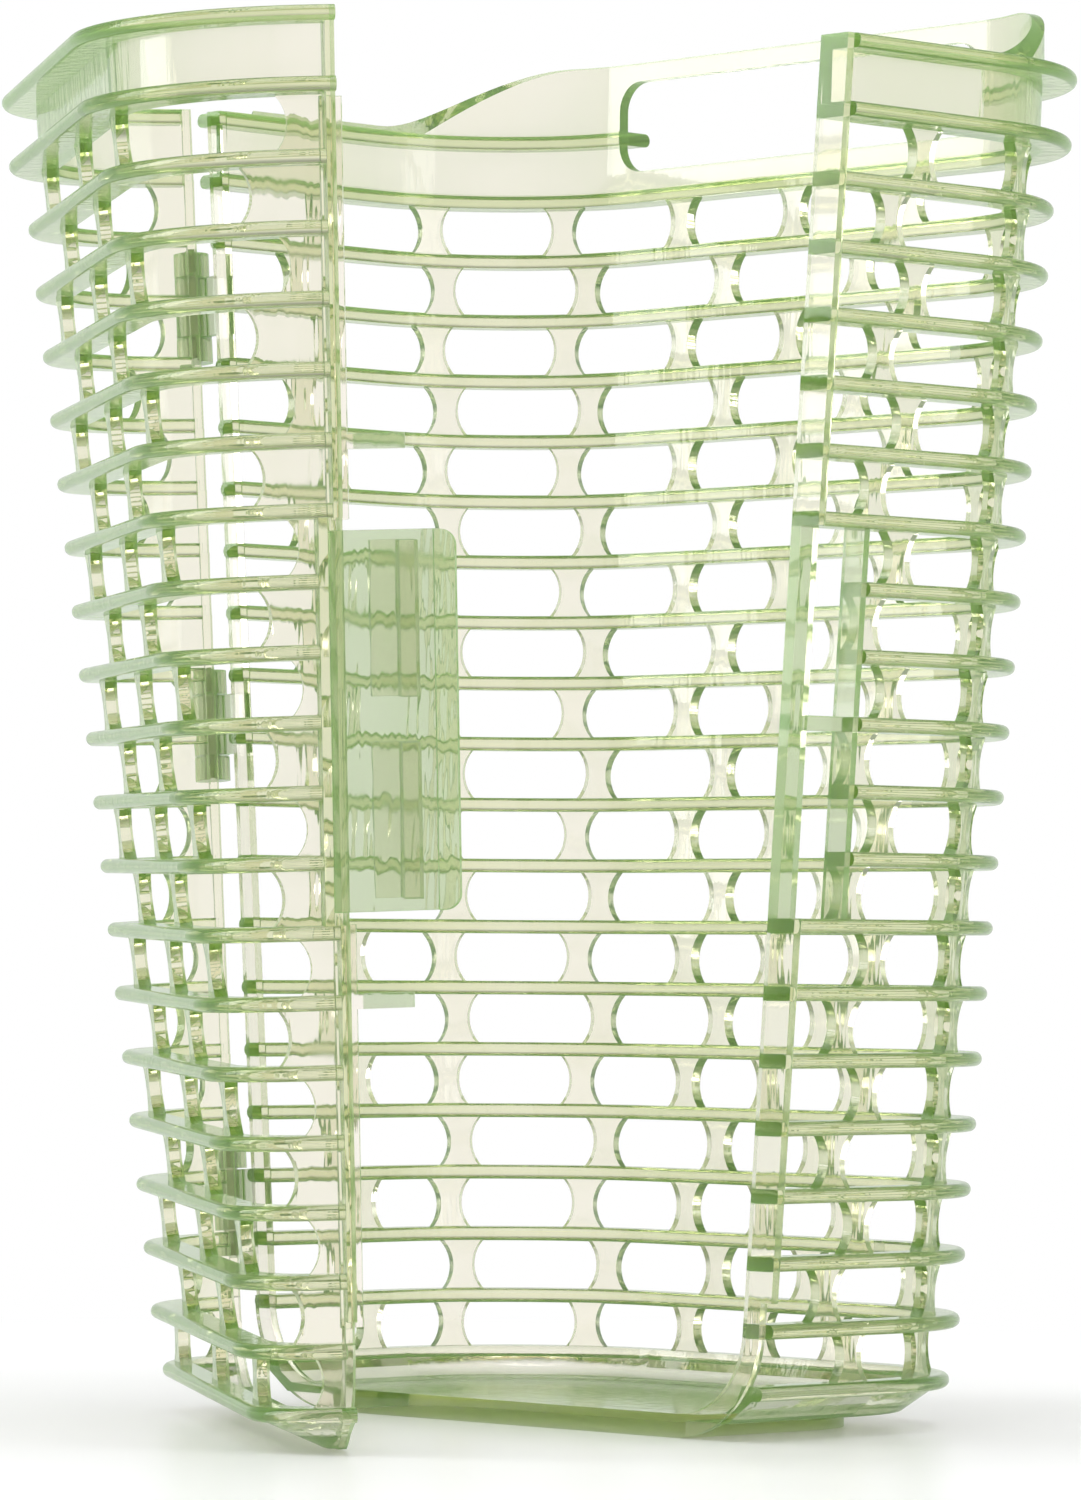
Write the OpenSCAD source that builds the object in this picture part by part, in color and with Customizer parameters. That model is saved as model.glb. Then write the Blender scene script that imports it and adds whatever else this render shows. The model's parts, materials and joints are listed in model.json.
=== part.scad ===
// Hinged basket of a produce keeper: a ribbed rear shell with a carry handle, a swinging ribbed door
// and a latch flap on the door that hooks into a keeper in the shell's post.
// Millimetres, +Z up. The shell opens to the front (-Y), the hinge is on the left (-X), the latch on
// the right. The parting plane is y = 0 and the foot stands on z = 0.
// "Reach" is the distance outward from the inside face of the wall.

/* [Basket] */
// Number of ribs, the rim included
rib_count = 20; // [16:1:22]
// Height from one rib to the next
rib_pitch = 10.5; // [9:0.1:13]
// Height of the lowest rib above the ground
last_rib_z = 17.3; // [15:0.1:24]
// Half the inside width at the rim
rim_half_w = 70.4; // [62:0.1:85]
// Inside depth of the rear shell at the rim
rim_back_d = 66.6; // [55:0.1:85]
// Inside depth of the door at the rim
rim_front_d = 28; // [26:0.1:40]
// Lean of the side walls in degrees
side_draft = 4.36; // [0.5:0.01:5]
// Lean of the back wall in degrees
back_draft = 1.98; // [0.5:0.01:5]
// Lean of the door's front wall in degrees
front_draft = 4.76; // [0.5:0.01:5]
// Inside radius of the two rear corners
back_corner_r = 29.7; // [20:0.1:36]

/* [Ribs and struts] */
// Wall thickness between the ribs
wall_t = 2; // [1.2:0.1:3]
// Rib thickness
fin_t = 2.3; // [1.6:0.1:3.2]
// Reach of a rib
fin_out = 5.5; // [4.6:0.1:7]
// Reach of the two rim ribs
rim_fin_out = 7.5; // [5:0.1:9]
// Width of a strut at its waist
strut_w = 3.8; // [2.5:0.1:6]
// How far the round end of a hole bows into a strut
hole_bulge = 1.6; // [0.8:0.1:2.4]

/* [Parting edge] */
// Gap between the door and the shell when the door is shut
parting_gap = 0.4; // [0.3:0.05:0.8]
// Reach of the posts along the parting edges
post_t = 6; // [5.6:0.1:7.5]
// Reach of the posts on the hinge side
hinge_post_t = 3.4; // [3:0.1:5]
// Width of the posts from front to back
post_w = 1.4; // [1.2:0.1:2]
// Thickness of the door's inner lip and tongues
lip_t = 1.2; // [0.8:0.1:2]
// How far the lip reaches behind the shell's post
lip_w = 1.6; // [1:0.1:2.5]
// How far the two tongues reach behind the shell's post
tongue_w = 10.3; // [4:0.1:11]

/* [Floor] */
// Floor height inside
floor_top = 3.8; // [3.2:0.1:4.5]
// Thickness of the foot pad under the floor
foot_h = 2.7; // [1.5:0.1:2.8]
// How far the foot pad is set in from the wall
foot_inset = 12.3; // [8:0.1:16]
// How far the pan slopes in under the flange of the shell
shell_slope = 3; // [2:0.1:6]
// How far the pan slopes in under the flange of the door
door_slope = 7.4; // [4:0.1:8]
// Height of the shut door's underside above the ground
door_foot = 1.7; // [1.4:0.1:2.6]
// Height of the flange round the floor
flange_z = 7.6; // [6.8:0.1:9]
// Reach of the flange
flange_out = 4.6; // [3:0.1:6]
// Radius from the posts down into the floor
floor_fillet = 14.5; // [8:0.1:16]
// Thickness of the edge where the posts turn into the floor
corner_t = 3.5; // [2:0.1:3.6]

/* [Handle] */
// Height of the handle above the rim rib
handle_h = 12.5; // [9:0.1:20]
// Radius of the handle's shoulders
shoulder_r = 21.5; // [12:0.1:30]
// Half the straight top of the handle
handle_half = 52; // [46:0.1:60]
// Half the length of the finger slot
slot_half = 42; // [30:0.1:46]
// Height of the bar over the finger slot
slot_bar = 3.1; // [2:0.1:5]
// Height of the slot's lower edge above the second rib
slot_sill = 4.3; // [2:0.1:6]
// Corner radius of the finger slot
slot_r = 5; // [2:0.1:7]

/* [Door] */
// How far the door stands open in degrees
door_open = 32.7; // [0:0.1:90]

/* [Hinge] */
// Height of the upper hinge
hinge_upper_z = 184.6; // [170:0.1:190]
// Height of the middle hinge
hinge_middle_z = 113.7; // [90:0.1:130]
// Height of the lower hinge
hinge_lower_z = 34; // [28:0.1:60]
// Reach of the hinge axis
hinge_out = 9; // [8.6:0.1:12]
// Diameter of the hinge pins
pin_d = 3; // [2:0.1:3.6]
// Running clearance of a pin on its radius
pin_clear = 0.05; // [0.02:0.01:0.1]
// Outside diameter of the hinge barrels
barrel_d = 6.2; // [5.6:0.1:6.6]
// Height of the barrel on the shell
barrel_h = 10; // [8:0.1:14]
// Height of each lug on the door
lug_h = 4; // [3:0.1:6]
// Gap between a lug and the barrel
lug_gap = 0.3; // [0.2:0.05:0.6]
// Thickness of the arms that carry the barrels and lugs
arm_t = 1.1; // [0.8:0.1:1.2]

/* [Latch] */
// First rib above the latch
latch_rib = 8; // [5:1:10]
// Number of rib steps that the latch spans
latch_steps = 6; // [4:2:6]
// How far the flap reaches past the parting plane
flap_w = 16.3; // [15:0.1:22]
// Flap height
flap_h = 57; // [54:0.1:59]
// Flap thickness
flap_t = 1.4; // [1:0.1:2]
// Gap between the flap and the ribs under it
flap_gap = 0.3; // [0.2:0.05:0.8]
// Width of the finger ridge at the flap's free edge
ridge_w = 3.4; // [2:0.1:5]
// Extra thickness of the finger ridge
ridge_t = 1; // [0.5:0.1:2]
// Corner radius of the flap
flap_r = 2.5; // [1:0.1:4]
// Diameter of the bead that the flap turns on
bead_d = 2.4; // [1.8:0.1:2.6]
// Width of the keeper's front bar
front_bar = 3.8; // [3:0.1:4]
// Reach of the keeper's front bar
front_bar_t = 2.4; // [2.2:0.1:2.6]
// Width of the keeper's window
window_w = 8; // [7.8:0.1:9]
// Width of the keeper's back bar
back_bar = 1.2; // [1:0.1:1.2]
// Reach of the keeper's back bar
back_bar_t = 4.6; // [3:0.1:5]
// Height of each hook bar
hook_h = 23.4; // [15:0.1:25]
// Thickness of a hook bar
hook_w = 2.8; // [2:0.1:3]
// How far a hook bar stands behind the front bar
hook_set = 4.2; // [3:0.1:4.4]
// How deep a hook's tip catches behind the front bar
hook_catch = 1.2; // [0.6:0.1:1.2]
// Thickness of a hook's tip
hook_tip = 1; // [0.6:0.1:1.4]
// Gap between a hook's tip and the front bar
hook_gap = 0.3; // [0.2:0.05:0.5]

/* [Hidden] */
$fn = 96;

plastic = [0.62, 0.82, 0.62];
plastic_deep = [0.45, 0.70, 0.45];

// Struts stand this far inside the ribs' faces and bite this deep into the ribs.
inset = 0.2;
bite = 0.6;
rim_z = rib_z(1);
row_h = rib_pitch - fin_t;
hole_r = (row_h * row_h / 4 + hole_bulge * hole_bulge) / (2 * hole_bulge);
// Posts run this far into the ends of the ribs.
seam = 0.1;
flange_top = flange_z + fin_t / 2;
// The last row stands on the flange and bites into the last rib only.
last_row_h = last_rib_z - fin_t / 2 - flange_top - bite;
last_row_z = flange_top + bite + last_row_h / 2;
post_foot = floor_top + floor_fillet;
// The floor's edge section reaches in from the wall until the door's round corners leave only a small core.
core_r = 0.78;
pan_in = front_d(flange_z) - core_r;

// Struts on the shell: distance behind the parting plane, angle round the corner, share of the flat back.
shell_side = [16.6, 23];
shell_corner = [[24, 72], [20, 64]];
shell_back = [[-0.41, 0.41], [-0.68, 0, 0.68]];
// Struts on the door: distance along the flat front from its middle.
door_front = [[-27.5, 13.5], [-42, 0, 42]];
// Solid ends of the door's rows: a fixed width and a share of the corner radius.
door_end_w = 2.4;
door_end_share = [0.345, 0.145];

keeper_d = front_bar + window_w + back_bar;
latch_top = rib_z(latch_rib) - fin_t / 2;
latch_bottom = rib_z(latch_rib + latch_steps) + fin_t / 2;
latch_mid = (latch_top + latch_bottom) / 2;
flap_reach = fin_out + flap_gap + flap_t / 2;
flap_y = -parting_gap - bead_d / 2;
// Depth of the door's solid edge that holds the bead.
latch_d = 1.5 * bead_d;
hook_z = latch_steps * rib_pitch / 4 - bite;

function rib_z(k) = last_rib_z + (rib_count - k) * rib_pitch;
function half_w(z) = rim_half_w - tan(side_draft) * (rim_z - z);
function back_d(z) = rim_back_d - tan(back_draft) * (rim_z - z);
function front_d(z) = rim_front_d - tan(front_draft) * (rim_z - z) - parting_gap;
// A row is named by the rib above it. Rows alternate between two strut layouts.
function row_mid(k) = rib_z(k) - rib_pitch / 2;
function layout(k) = (k + 1) % 2;
function in_latch(k) = k > latch_rib && k < latch_rib + latch_steps;
// Lean of a row's wall at a corner angle, 0 at the side wall and 90 at the end wall. The last row is upright.
function lean(k, a, end_draft) =
  k == rib_count ? 0 : atan(tan(side_draft) * cos(a) + tan(end_draft) * sin(a));

// Rib section: a plate with a full round tip.
module fin_section(out) {
  translate([0, -fin_t / 2]) square([out - fin_t / 2, fin_t]);
  translate([out - fin_t / 2, 0]) circle(d = fin_t);
}

// Section of the solid band between the two rim ribs.
module band_section() {
  slope = rib_pitch / 2 * tan(back_draft);
  polygon([[inset - slope, -rib_pitch / 2], [inset + wall_t - slope, -rib_pitch / 2],
           [inset + wall_t + slope, rib_pitch / 2], [inset + slope, rib_pitch / 2]]);
}

// Section of the floor's edge: flange, sloping pan wall and the start of the floor.
module pan_section(slope, low) {
  fin_section(flange_out);
  polygon([[0, fin_t / 2], [flange_out - fin_t, -fin_t / 2],
           [-slope, low - flange_z], [-pan_in, low - flange_z],
           [-pan_in, floor_top - flange_z], [-pan_in * 0.4, floor_top + 0.4 - flange_z],
           [-pan_in * 0.13, floor_top + 2 - flange_z]]);
}

// Sweeps a section round the rear shell at height z; right_start is where the right wall begins.
module rear_sweep(z, start = post_w, right_start = post_w) {
  w = half_w(z) - back_corner_r;
  d = back_d(z) - back_corner_r;
  for (side = [0, 1]) mirror([side, 0, 0]) {
    from = side == 0 ? right_start : start;
    translate([half_w(z), d, z]) rotate([90, 0, 0]) linear_extrude(d - from) children();
    translate([w, d, z]) rotate_extrude(angle = 90) translate([back_corner_r, 0]) children();
  }
  translate([-w, back_d(z), z]) rotate([90, 0, 90]) linear_extrude(2 * w) children();
}

// Sweeps a section round the door at height z, with quarter rounds from the parting edge to the front.
// On the hinge side it starts at the back of the post, on the latch side latch_start in front of the edge.
module door_sweep(z, latch_start = 0) {
  r = front_d(z);
  w = half_w(z) - r;
  translate([0, -parting_gap, z]) mirror([0, 1, 0]) {
    for (side = [0, 1]) mirror([side, 0, 0]) translate([w, 0, 0]) {
      a = side == 0 ? asin(latch_start / (r + fin_out)) : asin((post_w - seam) / (r + hinge_post_t));
      mirror([1, -1, 0]) rotate_extrude(angle = 90 - a) translate([r, 0]) children();
    }
    translate([-w, r, 0]) rotate([90, 0, 90]) linear_extrude(2 * w) children();
  }
}

// Hourglass strut in the middle of a row: x outward, y along the wall.
module strut(tilt, h) {
  rotate([0, tilt, 0]) translate([inset, 0, 0]) rotate([90, 0, 90])
    linear_extrude(wall_t) difference() {
      square([strut_w + 2 * hole_bulge, h + 2 * bite], center = true);
      for (side = [-1, 1]) translate([side * (strut_w / 2 + hole_r), 0]) circle(hole_r);
    }
}

// Bar along a side wall, leaning with it: reach r0 to r1, y0 to y1.
module side_bar(z0, z1, r0, r1, y0, y1) {
  translate([0, y1, 0]) rotate([90, 0, 0]) linear_extrude(y1 - y0)
    polygon([[half_w(z0) + r0, z0], [half_w(z0) + r1, z0], [half_w(z1) + r1, z1], [half_w(z1) + r0, z1]]);
}

// Plan of a half basket: half width w, depth d, corner radius r.
module half_plan(w, d, r) {
  translate([-w, 0]) square([2 * w, d - r]);
  translate([-(w - r), 0]) square([2 * (w - r), d]);
  for (side = [-1, 1]) translate([side * (w - r), d - r]) circle(r);
}

// One row of the rear shell's struts.
module shell_row(k, z, h) {
  i = layout(k);
  w = half_w(z) - back_corner_r;
  d = back_d(z) - back_corner_r;
  for (side = [0, 1]) mirror([side, 0, 0]) {
    translate([half_w(z), shell_side[i], z]) strut(lean(k, 0, back_draft), h);
    for (a = shell_corner[i])
      translate([w, d, z]) rotate([0, 0, a]) translate([back_corner_r, 0, 0])
        strut(lean(k, a, back_draft), h);
  }
  for (share = shell_back[i])
    translate([share * w, back_d(z), z]) rotate([0, 0, 90]) strut(lean(k, 90, back_draft), h);
}

// Finger slot through the back wall.
module slot_cut() {
  low = rib_z(2) + slot_sill;
  high = rim_z + handle_h - slot_bar;
  translate([0, back_d(rim_z) + 2 * rim_fin_out, 0]) rotate([90, 0, 0])
    linear_extrude(back_corner_r) {
      translate([-slot_half + slot_r, low]) square([2 * (slot_half - slot_r), high - low]);
      translate([-slot_half, low + slot_r]) square([2 * slot_half, high - low - 2 * slot_r]);
      for (x = [-1, 1], z = [low + slot_r, high - slot_r])
        translate([x * (slot_half - slot_r), z]) circle(slot_r);
    }
}

// Handle: the back wall carried up past the rim, with round shoulders.
module handle_wall() {
  intersection() {
    rear_sweep(rim_z) translate([inset, -bite]) square([wall_t, handle_h + 2 * bite]);
    translate([0, back_d(rim_z) + rim_fin_out, rim_z]) rotate([90, 0, 0])
      linear_extrude(back_d(rim_z)) {
        translate([-handle_half, -shoulder_r]) square([2 * handle_half, shoulder_r + handle_h]);
        for (x = [-1, 1]) translate([x * handle_half, handle_h - shoulder_r]) circle(shoulder_r);
      }
  }
}

module rear_shell() {
  color(plastic) {
    difference() {
      union() {
        rear_sweep(rim_z) fin_section(rim_fin_out);
        rear_sweep(row_mid(1)) band_section();
        handle_wall();
      }
      slot_cut();
    }
    for (k = [2 : rib_count])
      rear_sweep(rib_z(k), right_start = in_latch(k) ? keeper_d : post_w)
        fin_section(k == 2 ? rim_fin_out : fin_out);
    for (k = [2 : rib_count - 1]) shell_row(k, row_mid(k), row_h);
    shell_row(rib_count, last_row_z, last_row_h);
    mirror([1, 0, 0]) side_bar(post_foot, rim_z + fin_t / 2, inset, hinge_post_t, 0, post_w + seam);
    side_bar(latch_top, rim_z + fin_t / 2, inset, post_t, 0, post_w + seam);
    free_post_foot(0, post_w + seam);
  }
}

// Lower end of a post on the latch side: narrow at the foot, full reach up to the latch.
module free_post_foot(y0, y1) {
  side_bar(post_foot, latch_bottom, inset, corner_t + inset, y0, y1);
  side_bar(post_foot + rib_pitch / 3, latch_bottom, inset, post_t, y0, y1);
}

// Edge of the floor at the parting plane, turning up into both posts.
module corner_frame(y0, y1, low) {
  w = half_w(post_foot) + inset - floor_fillet;
  out = floor_fillet + corner_t;
  translate([0, y1, 0]) rotate([90, 0, 0]) linear_extrude(y1 - y0) {
    translate([-w, low]) square([2 * w, floor_top - low]);
    for (side = [0, 1]) mirror([side, 0])
      intersection() {
        translate([w, post_foot]) difference() {
          circle(out);
          circle(floor_fillet);
        }
        translate([w, low]) square([out, post_foot - low]);
      }
  }
}

module floor_pan() {
  w = half_w(flange_z);
  d = back_d(flange_z);
  color(plastic) {
    rear_sweep(flange_z, post_w / 2, post_w / 2) pan_section(shell_slope, foot_h);
    translate([0, post_w / 2, foot_h]) linear_extrude(floor_top - foot_h)
      half_plan(w - door_slope, d - door_slope - post_w / 2, back_corner_r - door_slope);
    linear_extrude(foot_h + bite)
      half_plan(w - foot_inset, d - foot_inset, back_corner_r - foot_inset);
    corner_frame(0, post_w, floor_top - corner_t);
  }
}

module latch_keeper() {
  z = rib_z(latch_rib + latch_steps / 2);
  color(plastic_deep) {
    side_bar(latch_bottom, latch_top, inset, front_bar_t, 0, front_bar);
    side_bar(latch_bottom, latch_top, inset, back_bar_t, front_bar + window_w, keeper_d);
    side_bar(z - fin_t / 2, z + fin_t / 2, inset, front_bar_t, front_bar / 2, keeper_d - back_bar / 2);
  }
}

// Frame on the hinge axis at height z: z along the axis, x toward the basket.
module at_hinge(z) {
  translate([-(half_w(z) + hinge_out), -parting_gap / 2, z]) rotate([0, -side_draft, 0]) children();
}

// Turns what is modelled shut to the open door's place.
module door_place() {
  axis = [-(half_w(0) + hinge_out), -parting_gap / 2, 0];
  translate(axis) rotate(a = -door_open, v = [-sin(side_draft), 0, cos(side_draft)])
    translate(-axis) children();
}

// Barrel with an arm to the post; side is 1 on the shell and -1 on the door.
module knuckle(h, side) {
  reach = (hinge_out - hinge_post_t) * cos(side_draft);
  face = parting_gap / 2 + seam;
  difference() {
    union() {
      cylinder(d = barrel_d, h = h, center = true);
      translate([0, side > 0 ? face : -face - arm_t, -h / 2]) cube([reach, arm_t, h]);
    }
    cylinder(d = pin_d + 2 * pin_clear, h = h + 1, center = true);
  }
}

module shell_hinge(z) {
  color(plastic_deep) at_hinge(z) knuckle(barrel_h, 1);
}

module door_hinge(z) {
  color(plastic_deep) door_place() at_hinge(z)
    for (end = [-1, 1])
      translate([0, 0, end * (barrel_h / 2 + lug_gap + lug_h / 2)]) knuckle(lug_h, -1);
}

module hinge_pin(z) {
  color(plastic_deep) door_place() at_hinge(z)
    cylinder(d = pin_d, h = barrel_h + 2 * (lug_gap + lug_h), center = true);
}

// One row of the door's struts and end pieces.
module door_row(k, z, h) {
  i = layout(k);
  r = front_d(z);
  w = half_w(z) - r;
  translate([0, -parting_gap, z]) mirror([0, 1, 0]) {
    for (x = door_front[i]) translate([x, r, 0]) rotate([0, 0, 90]) strut(lean(k, 90, front_draft), h);
    for (side = [0, 1]) mirror([side, 0, 0]) translate([w, 0, 0])
      row_end(r, asin((door_end_w + door_end_share[i] * r) / r), h);
  }
}

// Solid end of a row on a corner of radius r, up to a round hole end at angle a.
module row_end(r, a, h) {
  difference() {
    rotate_extrude(angle = a + asin(hole_bulge / r))
      translate([r + inset, -h / 2 - bite]) square([wall_t, h + 2 * bite]);
    rotate([0, 0, a]) translate([r - wall_t, hole_r, 0]) rotate([0, 90, 0])
      cylinder(r = hole_r, h = 4 * wall_t);
  }
}

module door_shell() {
  lip_top = rib_z(2) - fin_t / 2;
  lip_foot = post_foot + fin_t;
  back = -parting_gap - post_w;
  shut = -parting_gap;
  color(plastic) door_place() {
    for (k = [1 : rib_count - 1])
      door_sweep(rib_z(k), in_latch(k) ? latch_d : 0) fin_section(k <= 2 ? rim_fin_out : fin_out);
    door_sweep(row_mid(1)) band_section();
    for (k = [2 : rib_count - 2]) door_row(k, row_mid(k), row_h);
    difference() {
      union() {
        door_sweep(last_rib_z) fin_section(fin_out);
        door_row(rib_count - 1, row_mid(rib_count - 1), row_h);
        door_row(rib_count, last_row_z, last_row_h);
      }
      translate([-rim_half_w, back, 0]) cube([2 * rim_half_w, 2 * post_w, post_foot]);
    }
    mirror([1, 0, 0]) side_bar(post_foot, rim_z + fin_t / 2, inset, hinge_post_t, back, shut);
    side_bar(latch_top, rim_z + fin_t / 2, inset, post_t, back, shut);
    free_post_foot(back, shut);
    difference() {
      union() {
        side_bar(latch_bottom - seam, latch_top + seam, inset, fin_out, shut - latch_d - seam, shut);
        side_bar(latch_bottom - seam, latch_top + seam, wall_t, post_t, shut - latch_d - seam, flap_y);
      }
      at_latch() cylinder(d = bead_d + 2 * pin_clear, h = 2 * flap_h, center = true);
    }
    for (span = [[lip_foot, latch_bottom], [latch_top, lip_top]]) {
      side_bar(span[0], span[1], -inset - lip_t, 2 * inset, back, shut - inset);
      side_bar(span[0], span[1], -inset - lip_t, -inset, back, lip_w);
    }
    for (k = [latch_rib - 1, latch_rib + latch_steps + 1])
      side_bar(rib_z(k) - fin_t / 2, rib_z(k) + fin_t / 2, -inset - lip_t, -inset, back, tongue_w);
  }
}

module door_sill() {
  w = half_w(flange_z);
  d = front_d(flange_z);
  color(plastic) door_place() {
    door_sweep(flange_z) pan_section(door_slope, door_foot);
    translate([d - w, door_slope - d - parting_gap, door_foot])
      cube([2 * (w - d), d - door_slope, floor_top - door_foot]);
    corner_frame(-parting_gap - post_w, -parting_gap, door_foot);
  }
}

// Frame on the flap's turning axis: z along the axis, x outward, y toward the shell.
module at_latch() {
  translate([half_w(latch_mid) + flap_reach, flap_y, latch_mid]) rotate([0, side_draft, 0]) children();
}

module latch_flap() {
  reach = flap_w - flap_y;
  color(plastic_deep) door_place() at_latch() {
    cylinder(d = bead_d, h = flap_h, center = true);
    translate([-flap_t / 2, 0, 0]) rotate([90, 0, 90]) {
      linear_extrude(flap_t) flap_plan(reach);
      linear_extrude(flap_t + ridge_t) intersection() {
        flap_plan(reach);
        translate([reach - ridge_w, -flap_h]) square([ridge_w, 2 * flap_h]);
      }
    }
  }
}

// Flap outline, round at the free corners.
module flap_plan(reach) {
  translate([0, -flap_h / 2]) square([reach - flap_r, flap_h]);
  translate([0, -flap_h / 2 + flap_r]) square([reach, flap_h - 2 * flap_r]);
  for (z = [-1, 1]) translate([reach - flap_r, z * (flap_h / 2 - flap_r)]) circle(flap_r);
}

// Hook: a bar through the keeper's window with a tip that catches behind the front bar.
module latch_hook(side) {
  inner = flap_reach - front_bar_t + hook_catch;
  y = front_bar + hook_gap - flap_y;
  set = hook_set - hook_gap;
  color(plastic_deep) door_place() at_latch() translate([-inner, y, side * hook_z - hook_h / 2]) {
    translate([0, set, 0]) cube([inner - flap_t / 2, hook_w, hook_h]);
    cube([hook_tip, set + hook_w / 2, hook_h]);
  }
}

rear_shell();
floor_pan();
latch_keeper();
shell_hinge(hinge_upper_z);  // shell_hinge_upper
shell_hinge(hinge_middle_z);  // shell_hinge_middle
shell_hinge(hinge_lower_z);  // shell_hinge_lower
door_shell();
door_sill();
door_hinge(hinge_upper_z);  // door_hinge_upper
door_hinge(hinge_middle_z);  // door_hinge_middle
door_hinge(hinge_lower_z);  // door_hinge_lower
hinge_pin(hinge_upper_z);  // hinge_pin_upper
hinge_pin(hinge_middle_z);  // hinge_pin_middle
hinge_pin(hinge_lower_z);  // hinge_pin_lower
latch_flap();
latch_hook(1);  // latch_hook_upper
latch_hook(-1);  // latch_hook_lower
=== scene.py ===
"""Studio scene of a hinged produce basket in translucent moulded plastic."""
import json
import math

import bpy
from mathutils import Matrix, Vector

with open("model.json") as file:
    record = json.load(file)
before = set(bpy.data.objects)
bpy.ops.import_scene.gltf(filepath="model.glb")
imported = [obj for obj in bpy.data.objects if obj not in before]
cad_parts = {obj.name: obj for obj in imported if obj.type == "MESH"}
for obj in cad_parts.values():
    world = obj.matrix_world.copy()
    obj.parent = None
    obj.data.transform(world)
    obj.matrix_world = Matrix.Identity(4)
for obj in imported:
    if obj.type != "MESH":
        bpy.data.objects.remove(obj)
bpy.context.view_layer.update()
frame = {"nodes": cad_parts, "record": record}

# Camera, fitted to the standing basket (metres, degrees, pixels).
CAMERA_AT = Vector((0.81345, -0.76978, 0.07603))
CAMERA_YAW, CAMERA_PITCH, CAMERA_ROLL = 46.26, 1.665, 0.402
FOCAL_PX, LONG_SIDE_PX, SENSOR_MM = 6940.1, 1500, 36
CAMERA_REACH = (0.01, 100)

# Resin: how it bends light, and what it swallows for each metre of thickness.
RESIN_IOR = 1.46
RESIN_COLOUR, RESIN_DENSITY = (0.60, 0.69, 0.06, 1), 80

# Tints, each with the tint of its cloudier patches, and the light that shines through milky plastic.
CREAM, CREAM_CLOUDY = (1.0, 0.945, 0.925, 1), (0.99, 0.935, 0.89, 1)
FLAP, FLAP_CLOUDY = (0.98, 0.96, 0.90, 1), (0.95, 0.94, 0.85, 1)
MILK, MILK_DEEP = (0.44, 0.72, 0.29, 1), (0.37, 0.67, 0.23, 1)
MILK_GLOW, GLOW_SHARE = (0.405, 0.695, 0.26, 1), 0.5

# Roughness of the skin, from its glossy to its hazy patches.
CLEAR_SKIN, MILKY_SKIN = (0.02, 0.08), (0.08, 0.20)

# Flow in the mould: noise scale and detail, and the noise between which a patch fades in.
CLOUD_SCALE, CLOUD_DETAIL, CLOUD_FADE = 38, 3, (0.35, 0.7)
HAZE_SCALE, HAZE_DETAIL, HAZE_FADE = 120, 3, (0.4, 0.8)
STREAK_SCALE, STREAK_DETAIL, STREAK_STRETCH = 420, 2, (1, 1, 0.1)
WALL_RIPPLE, FLAP_RIPPLE, RIPPLE_DEPTH = 0.035, 0.08, 0.002

# Milkiness: the depth at which plastic is a solid block, and the milky share of a wall seen edge on
# and of the door's tongues, which start behind the shut door's plane.
MILKY_DEPTH = 0.0085
MILKY_EDGE_ON, EDGE_ON_BLEND = 0.85, 0.17
MILKY_TONGUE, TONGUE_START = 0.3, 0.0025

# How far a moulded feature grows into the moulding that carries it, and how close points weld.
HAIR, WELD_WITHIN = 2e-5, 1e-6
FEATURES = ("floor_", "latch_keeper", "shell_hinge", "door_sill", "door_hinge", "latch_hook")

# Floor, with the distances from the basket between which it fades to white.
FLOOR_HALF = 6
FLOOR_COLOUR, FLOOR_ROUGHNESS, FLOOR_SPECULAR = (0.87, 0.875, 0.875, 1), 0.3, 0.2
FLOOR_FADE = (0.12, 0.32)

# Studio: room light, and the wall that gloss and clear plastic see, as height of the gaze and grey.
WHITE = (1, 1, 1, 1)
ROOM_LIGHT = 0.72
WALL_GREY = ((0.2, 1.0), (0.42, 0.4), (0.8, 0.4), (1.0, 1.0))

# Lamps: name, place, width and height in metres, and watts. All of them aim at the basket's middle.
BASKET_MIDDLE = Vector((0, 0, 0.11))
LAMPS = (("overhead_softbox", (0.1, -0.1, 1.3), (1.2, 1.2), 9),
         ("left_softbox", (-0.9, -0.9, 0.7), (0.6, 1.2), 9),
         ("right_softbox", (1.1, 0.3, 0.7), (0.5, 1.2), 3))


def feed(tree, value, socket):
    """Links a socket to an input, or sets a plain value on it."""
    if isinstance(value, bpy.types.NodeSocket):
        tree.links.new(value, socket)
    else:
        socket.default_value = value


def mix_node(tree, kind, factor, a, b):
    """Mixes two colours or values; each of factor, a and b is a socket or a plain value."""
    node = tree.nodes.new("ShaderNodeMix")
    node.data_type = kind
    factor_in, a_in, b_in, result = {"FLOAT": (0, 2, 3, 0), "RGBA": (0, 6, 7, 2)}[kind]
    feed(tree, factor, node.inputs[factor_in])
    feed(tree, a, node.inputs[a_in])
    feed(tree, b, node.inputs[b_in])
    return node.outputs[result]


def mix_shaders(tree, factor, a, b):
    """Mixes the shaders of two nodes."""
    node = tree.nodes.new("ShaderNodeMixShader")
    feed(tree, factor, node.inputs[0])
    tree.links.new(a.outputs[0], node.inputs[1])
    tree.links.new(b.outputs[0], node.inputs[2])
    return node


def math_node(tree, operation, a, b, clamp=False):
    """One sum of two sockets or plain values."""
    node = tree.nodes.new("ShaderNodeMath")
    node.operation = operation
    node.use_clamp = clamp
    feed(tree, a, node.inputs[0])
    feed(tree, b, node.inputs[1])
    return node.outputs[0]


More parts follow.
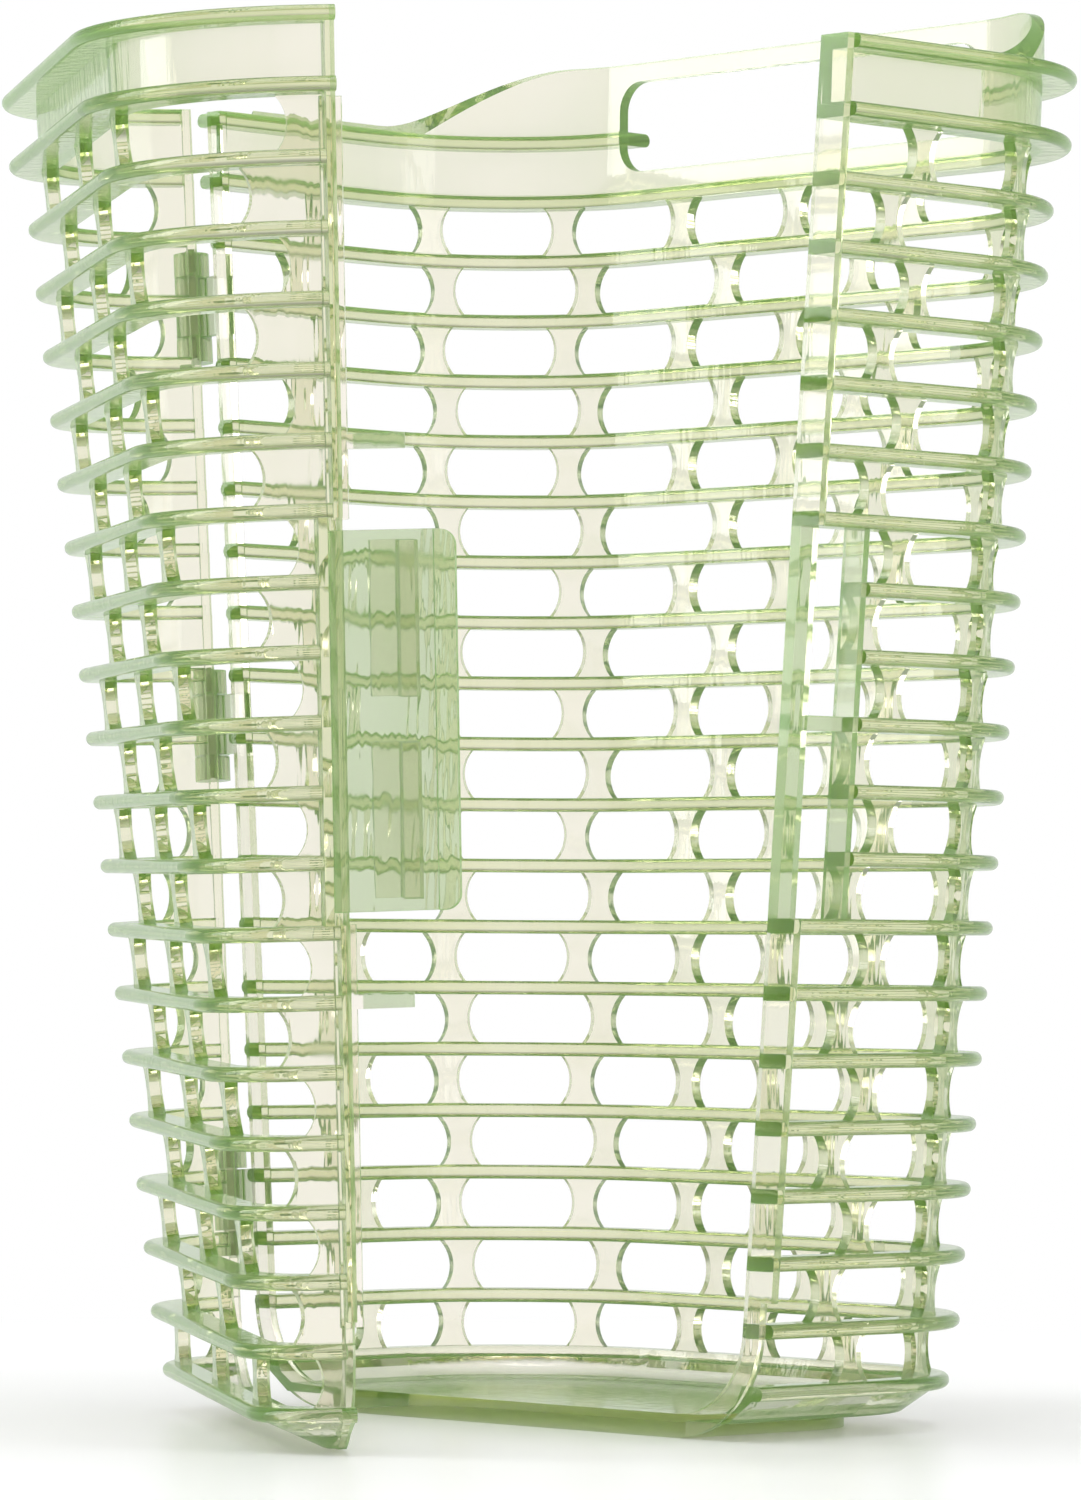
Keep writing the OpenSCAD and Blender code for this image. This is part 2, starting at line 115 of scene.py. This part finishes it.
def noise_node(tree, where, scale, detail, stretch=(1, 1, 1)):
    """Noise over the places that where gives, drawn out along the axes that stretch makes small."""
    mapping = tree.nodes.new("ShaderNodeMapping")
    mapping.inputs["Scale"].default_value = stretch
    tree.links.new(where, mapping.inputs["Vector"])
    node = tree.nodes.new("ShaderNodeTexNoise")
    node.inputs["Scale"].default_value = scale
    node.inputs["Detail"].default_value = detail
    tree.links.new(mapping.outputs[0], node.inputs["Vector"])
    return node.outputs["Fac"]


def fade(tree, value, ends):
    """Smooth step from 0 at the first of the ends to 1 at the second."""
    node = tree.nodes.new("ShaderNodeMapRange")
    node.interpolation_type = "SMOOTHSTEP"
    node.inputs["From Min"].default_value, node.inputs["From Max"].default_value = ends
    tree.links.new(value, node.inputs["Value"])
    return node.outputs[0]


def make_flow_group():
    """Flow of moulded resin: cloudy tint, hazier patches and a wavy skin."""
    tree = bpy.data.node_groups.new("moulded_resin_flow", "ShaderNodeTree")
    for name, kind in (("Clear", "NodeSocketColor"), ("Cloudy", "NodeSocketColor"),
                       ("Gloss", "NodeSocketFloat"), ("Haze", "NodeSocketFloat")):
        tree.interface.new_socket(name, in_out="INPUT", socket_type=kind)
    for name, kind in (("Color", "NodeSocketColor"), ("Roughness", "NodeSocketFloat"),
                       ("Height", "NodeSocketFloat")):
        tree.interface.new_socket(name, in_out="OUTPUT", socket_type=kind)
    given = tree.nodes.new("NodeGroupInput").outputs
    made = tree.nodes.new("NodeGroupOutput").inputs
    where = tree.nodes.new("ShaderNodeTexCoord").outputs["Object"]
    cloud = fade(tree, noise_node(tree, where, CLOUD_SCALE, CLOUD_DETAIL), CLOUD_FADE)
    haze = fade(tree, noise_node(tree, where, HAZE_SCALE, HAZE_DETAIL), HAZE_FADE)
    streak = noise_node(tree, where, STREAK_SCALE, STREAK_DETAIL, STREAK_STRETCH)
    tree.links.new(mix_node(tree, "RGBA", cloud, given["Clear"], given["Cloudy"]), made["Color"])
    tree.links.new(mix_node(tree, "FLOAT", haze, given["Gloss"], given["Haze"]), made["Roughness"])
    tree.links.new(streak, made["Height"])
    return tree


FLOW = make_flow_group()


def flowing(tree, clear, cloudy, skin):
    """Places the flow group with its two tints and the two ends of its roughness."""
    flow = tree.nodes.new("ShaderNodeGroup")
    flow.node_tree = FLOW
    for name, value in zip(("Clear", "Cloudy", "Gloss", "Haze"), (clear, cloudy, *skin)):
        flow.inputs[name].default_value = value
    return flow.outputs


def wall_depth(tree, outer):
    """How deep the plastic is: 0 in a thin wall, 1 in a block. outer is for its outer face."""
    node = tree.nodes.new("ShaderNodeAmbientOcclusion")
    node.inside, node.only_local, node.samples = outer, True, 1
    node.inputs["Distance"].default_value = MILKY_DEPTH
    return node.outputs["AO"]


def past_plane(tree, normal, reach):
    """1 beyond a plane that is given by its normal and its reach along that, and 0 before it."""
    along = tree.nodes.new("ShaderNodeVectorMath")
    along.operation = "DOT_PRODUCT"
    along.inputs[1].default_value = normal
    tree.links.new(tree.nodes.new("ShaderNodeTexCoord").outputs["Object"], along.inputs[0])
    return math_node(tree, "GREATER_THAN", along.outputs["Value"], reach)


def milky_share(tree, milky, tongue):
    """Share of the milky shader: milky gives it for a thin wall and for a block."""
    backfacing = tree.nodes.new("ShaderNodeNewGeometry").outputs["Backfacing"]
    depth = mix_node(tree, "FLOAT", backfacing, wall_depth(tree, True), wall_depth(tree, False))
    edge = tree.nodes.new("ShaderNodeLayerWeight")
    edge.inputs["Blend"].default_value = EDGE_ON_BLEND
    deep = mix_node(tree, "FLOAT", depth, *milky)
    share = mix_node(tree, "FLOAT", edge.outputs["Facing"], deep, MILKY_EDGE_ON)
    if tongue:
        share = mix_node(tree, "FLOAT", past_plane(tree, *tongue), share, MILKY_TONGUE)
    return share


def resin(name, clear=CREAM, cloudy=CREAM_CLOUDY, milky=(0.0, 1.0), ripple=WALL_RIPPLE,
          density=RESIN_DENSITY, tongue=None):
    """Opal moulded plastic: clear in a thin wall, milky green where it is deep or seen edge on.
    Past the plane that tongue gives, it has the milkiness of the door's tongues."""
    material = bpy.data.materials.new(name)
    material.use_nodes = True
    tree = material.node_tree
    glass = tree.nodes["Principled BSDF"]
    glass.inputs["IOR"].default_value = RESIN_IOR
    glass.inputs["Transmission Weight"].default_value = 1
    flow = flowing(tree, clear, cloudy, CLEAR_SKIN)
    bump = tree.nodes.new("ShaderNodeBump")
    bump.inputs["Strength"].default_value = ripple
    bump.inputs["Distance"].default_value = RIPPLE_DEPTH
    tree.links.new(flow["Height"], bump.inputs["Height"])
    body = tree.nodes.new("ShaderNodeBsdfPrincipled")
    body.inputs["IOR"].default_value = RESIN_IOR
    for shader, skin in ((glass, flow), (body, flowing(tree, MILK, MILK_DEEP, MILKY_SKIN))):
        tree.links.new(skin["Color"], shader.inputs["Base Color"])
        tree.links.new(skin["Roughness"], shader.inputs["Roughness"])
        tree.links.new(bump.outputs[0], shader.inputs["Normal"])
    glow = tree.nodes.new("ShaderNodeBsdfTranslucent")
    glow.inputs["Color"].default_value = MILK_GLOW
    milk = mix_shaders(tree, GLOW_SHARE, body, glow)
    opal = mix_shaders(tree, milky_share(tree, milky, tongue), glass, milk)
    inside = tree.nodes.new("ShaderNodeVolumeAbsorption")
    inside.inputs["Color"].default_value = RESIN_COLOUR
    inside.inputs["Density"].default_value = density
    output = tree.nodes["Material Output"]
    tree.links.new(opal.outputs[0], output.inputs["Surface"])
    tree.links.new(inside.outputs[0], output.inputs["Volume"])
    return material


def tongue_plane():
    """Plane that cuts off the door's tongues, in the place where the open door stands."""
    hinge = next(j for j in frame["record"]["behaviour"]["joints"] if j["name"] == "door_hinge")
    at = Matrix.Translation(hinge["pos_m"])
    turn = Matrix.Rotation(math.radians(hinge["range_deg"][0]), 4, Vector(hinge["axis"]))
    shut_depth = (at @ turn @ at.inverted())[1]
    return shut_depth[:3], TONGUE_START - shut_depth[3]


def dress_basket():
    """Gives each node its finish; a later, closer name takes over from an earlier one."""
    hinge_resin = resin("hinge_resin", milky=(0.3, 1.0))
    floor_resin = resin("floor_resin", milky=(0.0, 0.45), density=40)
    finishes = (("rear_", resin("shell_resin")),
                ("floor_", floor_resin),
                ("latch_keeper", resin("keeper_resin", milky=(0.25, 1.0))),
                ("shell_hinge", hinge_resin),
                ("door_", resin("door_resin", tongue=tongue_plane())),
                ("door_sill", floor_resin),
                ("door_hinge", hinge_resin),
                ("hinge_pin", resin("pin_resin", milky=(0.3, 0.9))),
                ("latch_flap", resin("latch_resin", FLAP, FLAP_CLOUDY, (0.25, 1.0), FLAP_RIPPLE)),
                ("latch_hook", resin("hook_resin", milky=(0.05, 0.5), density=60)))
    for start, material in finishes:
        for name, piece in frame["nodes"].items():
            if name.startswith(start):
                piece.data.materials.clear()
                piece.data.materials.append(material)


def run_features_together():
    """Grows each moulded feature by a hair, so that it runs into the moulding that carries it."""
    for name, piece in frame["nodes"].items():
        if name.startswith(FEATURES):
            weld = piece.modifiers.new("weld", "WELD")
            weld.merge_threshold = WELD_WITHIN
            grow = piece.modifiers.new("grow", "DISPLACE")
            grow.mid_level, grow.strength = 0, HAIR


def make_camera():
    yaw, pitch, roll = (math.radians(a) for a in (CAMERA_YAW, CAMERA_PITCH, CAMERA_ROLL))
    ahead = Vector((-math.sin(yaw) * math.cos(pitch), math.cos(yaw) * math.cos(pitch),
                    math.sin(pitch)))
    level = Vector((math.cos(yaw), math.sin(yaw), 0))
    upright = level.cross(ahead)
    right = level * math.cos(roll) + upright * math.sin(roll)
    up = upright * math.cos(roll) - level * math.sin(roll)
    data = bpy.data.cameras.new("camera")
    data.sensor_width = SENSOR_MM
    data.lens = FOCAL_PX * SENSOR_MM / LONG_SIDE_PX
    data.clip_start, data.clip_end = CAMERA_REACH
    camera = bpy.data.objects.new("camera", data)
    turned = Matrix((right, up, -ahead)).transposed().to_4x4()
    camera.matrix_world = Matrix.Translation(CAMERA_AT) @ turned
    bpy.context.scene.collection.objects.link(camera)
    bpy.context.scene.camera = camera


def backdrop_rays(tree):
    """Camera rays, and all rays that show the backdrop: those of the camera, gloss and clear plastic."""
    rays = tree.nodes.new("ShaderNodeLightPath").outputs
    camera = rays["Is Camera Ray"]
    through = math_node(tree, "ADD", rays["Is Glossy Ray"], rays["Is Transmission Ray"], True)
    return camera, math_node(tree, "ADD", camera, through, True)


def make_floor():
    """Pale floor that takes the shadow and fades to white away from the basket."""
    half = FLOOR_HALF
    mesh = bpy.data.meshes.new("floor")
    corners = [(-half, -half, 0), (half, -half, 0), (half, half, 0), (-half, half, 0)]
    mesh.from_pydata(corners, [], [(0, 1, 2, 3)])
    floor = bpy.data.objects.new("floor", mesh)
    bpy.context.scene.collection.objects.link(floor)
    material = bpy.data.materials.new("pale_floor")
    material.use_nodes = True
    tree = material.node_tree
    shader = tree.nodes["Principled BSDF"]
    shader.inputs["Base Color"].default_value = FLOOR_COLOUR
    shader.inputs["Roughness"].default_value = FLOOR_ROUGHNESS
    shader.inputs["Specular IOR Level"].default_value = FLOOR_SPECULAR
    glow = tree.nodes.new("ShaderNodeEmission")
    distance = tree.nodes.new("ShaderNodeVectorMath")
    distance.operation = "LENGTH"
    place = tree.nodes.new("ShaderNodeNewGeometry").outputs["Position"]
    tree.links.new(place, distance.inputs[0])
    far = fade(tree, distance.outputs["Value"], FLOOR_FADE)
    _, seen = backdrop_rays(tree)
    blend = mix_shaders(tree, math_node(tree, "MULTIPLY", far, seen), shader, glow)
    tree.links.new(blend.outputs[0], tree.nodes["Material Output"].inputs["Surface"])
    mesh.materials.append(material)


def make_world():
    """Even room light, with a white backdrop for the camera and the grey wall for gloss."""
    world = bpy.data.worlds.new("studio")
    bpy.context.scene.world = world
    world.use_nodes = True
    tree = world.node_tree
    room = tree.nodes["Background"]
    room.inputs["Color"].default_value = WHITE
    room.inputs["Strength"].default_value = ROOM_LIGHT
    gaze = tree.nodes.new("ShaderNodeSeparateXYZ")
    tree.links.new(tree.nodes.new("ShaderNodeTexCoord").outputs["Generated"], gaze.inputs[0])
    wall = tree.nodes.new("ShaderNodeValToRGB")
    stops = wall.color_ramp.elements
    while len(stops) < len(WALL_GREY):
        stops.new(0.5)
    for stop, (height, grey) in zip(stops, WALL_GREY):
        stop.position, stop.color = height, (grey, grey, grey, 1)
    tree.links.new(gaze.outputs["Z"], wall.inputs[0])
    camera, seen = backdrop_rays(tree)
    backdrop = tree.nodes.new("ShaderNodeBackground")
    shown = mix_node(tree, "RGBA", camera, wall.outputs[0], WHITE)
    tree.links.new(shown, backdrop.inputs["Color"])
    blend = mix_shaders(tree, seen, room, backdrop)
    tree.links.new(blend.outputs[0], tree.nodes["World Output"].inputs["Surface"])


def make_lamp(name, at, size, watts):
    data = bpy.data.lights.new(name, "AREA")
    data.shape = "RECTANGLE"
    data.size, data.size_y = size
    data.energy = watts
    lamp = bpy.data.objects.new(name, data)
    lamp.location = at
    lamp.rotation_euler = (BASKET_MIDDLE - Vector(at)).to_track_quat("-Z", "Y").to_euler()
    bpy.context.scene.collection.objects.link(lamp)


dress_basket()
run_features_together()
make_camera()
make_floor()
make_world()
for lamp_values in LAMPS:
    make_lamp(*lamp_values)

bpy.context.scene.view_settings.view_transform = "Standard"
